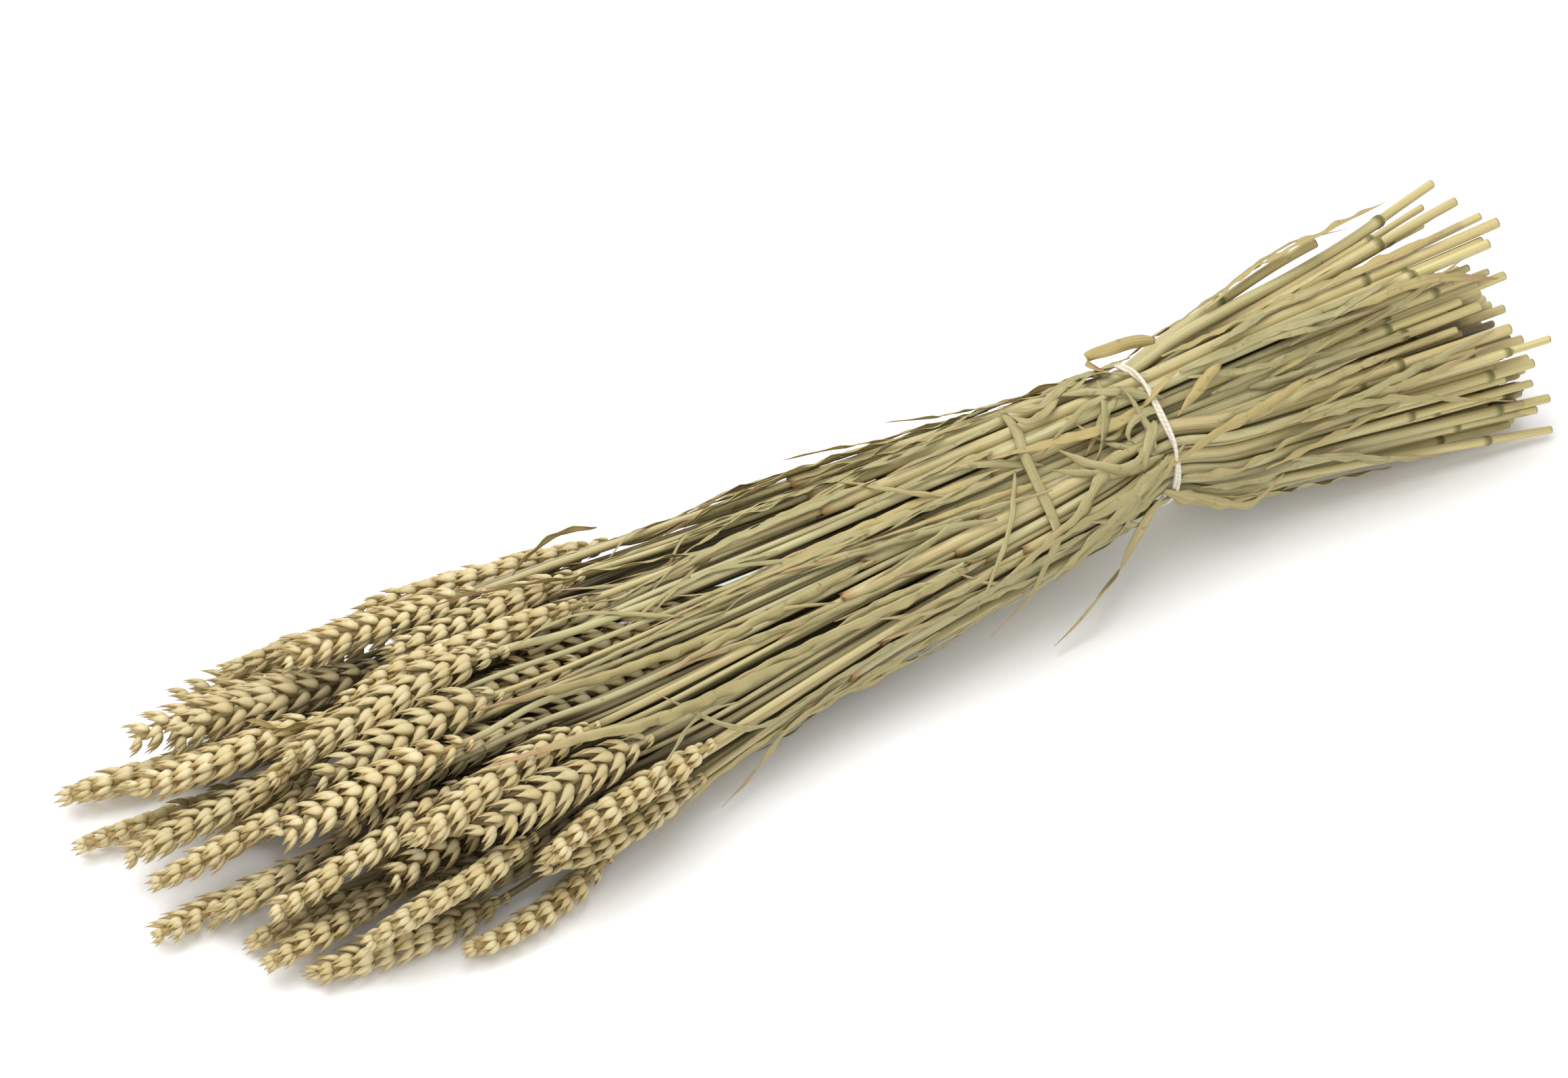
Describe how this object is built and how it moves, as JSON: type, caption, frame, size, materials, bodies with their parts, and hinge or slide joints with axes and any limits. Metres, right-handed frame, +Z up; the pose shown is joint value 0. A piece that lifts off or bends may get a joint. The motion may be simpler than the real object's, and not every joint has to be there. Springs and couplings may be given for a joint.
{
  "type": "tied bunch of wheat ears",
  "caption": "Bunch of dried wheat stalks with full ears, tied with a cotton cord and lying flat, its cut stem ends fanned out at the other end.",
  "frame": {"origin": "bottom centre of the bounding box, on the surface that the bunch lies on", "axes": "+X along the bunch from the ears to the cut ends, +Y sideways, +Z up from the surface"},
  "size_m": [0.5508, 0.154, 0.0846],
  "materials": {
    "stem": "dry straw, satin",
    "ear": "dry husk, matt",
    "inner_stalks": "dry straw, satin",
    "cord": "twisted cotton",
    "leaf": "dry leaf, matt"
  },
  "bodies": {
    "root": {"stem_01": "stem", "ear_01": "ear", "stem_02": "stem", "ear_02": "ear", "stem_03": "stem", "ear_03": "ear", "stem_04": "stem", "ear_04": "ear", "stem_05": "stem", "ear_05": "ear", "stem_06": "stem", "ear_06": "ear", "stem_07": "stem", "ear_07": "ear", "stem_08": "stem", "ear_08": "ear", "stem_09": "stem", "ear_09": "ear", "stem_10": "stem", "ear_10": "ear", "stem_11": "stem", "ear_11": "ear", "stem_12": "stem", "ear_12": "ear", "stem_13": "stem", "ear_13": "ear", "stem_14": "stem", "ear_14": "ear", "stem_15": "stem", "ear_15": "ear", "stem_16": "stem", "ear_16": "ear", "stem_17": "stem", "ear_17": "ear", "stem_18": "stem", "ear_18": "ear", "stem_19": "stem", "ear_19": "ear", "stem_20": "stem", "ear_20": "ear", "stem_21": "stem", "ear_21": "ear", "stem_22": "stem", "ear_22": "ear", "stem_23": "stem", "ear_23": "ear", "stem_24": "stem", "ear_24": "ear", "stem_25": "stem", "ear_25": "ear", "stem_26": "stem", "ear_26": "ear", "inner_stalks_far": "inner_stalks", "inner_stalks_upper": "inner_stalks", "inner_stalks_near": "inner_stalks", "inner_stalks_lower": "inner_stalks", "tie_cord": "cord", "leaf_front": "leaf", "leaf_loop": "leaf", "leaf_hanging": "leaf"}
  },
  "joints": []
}
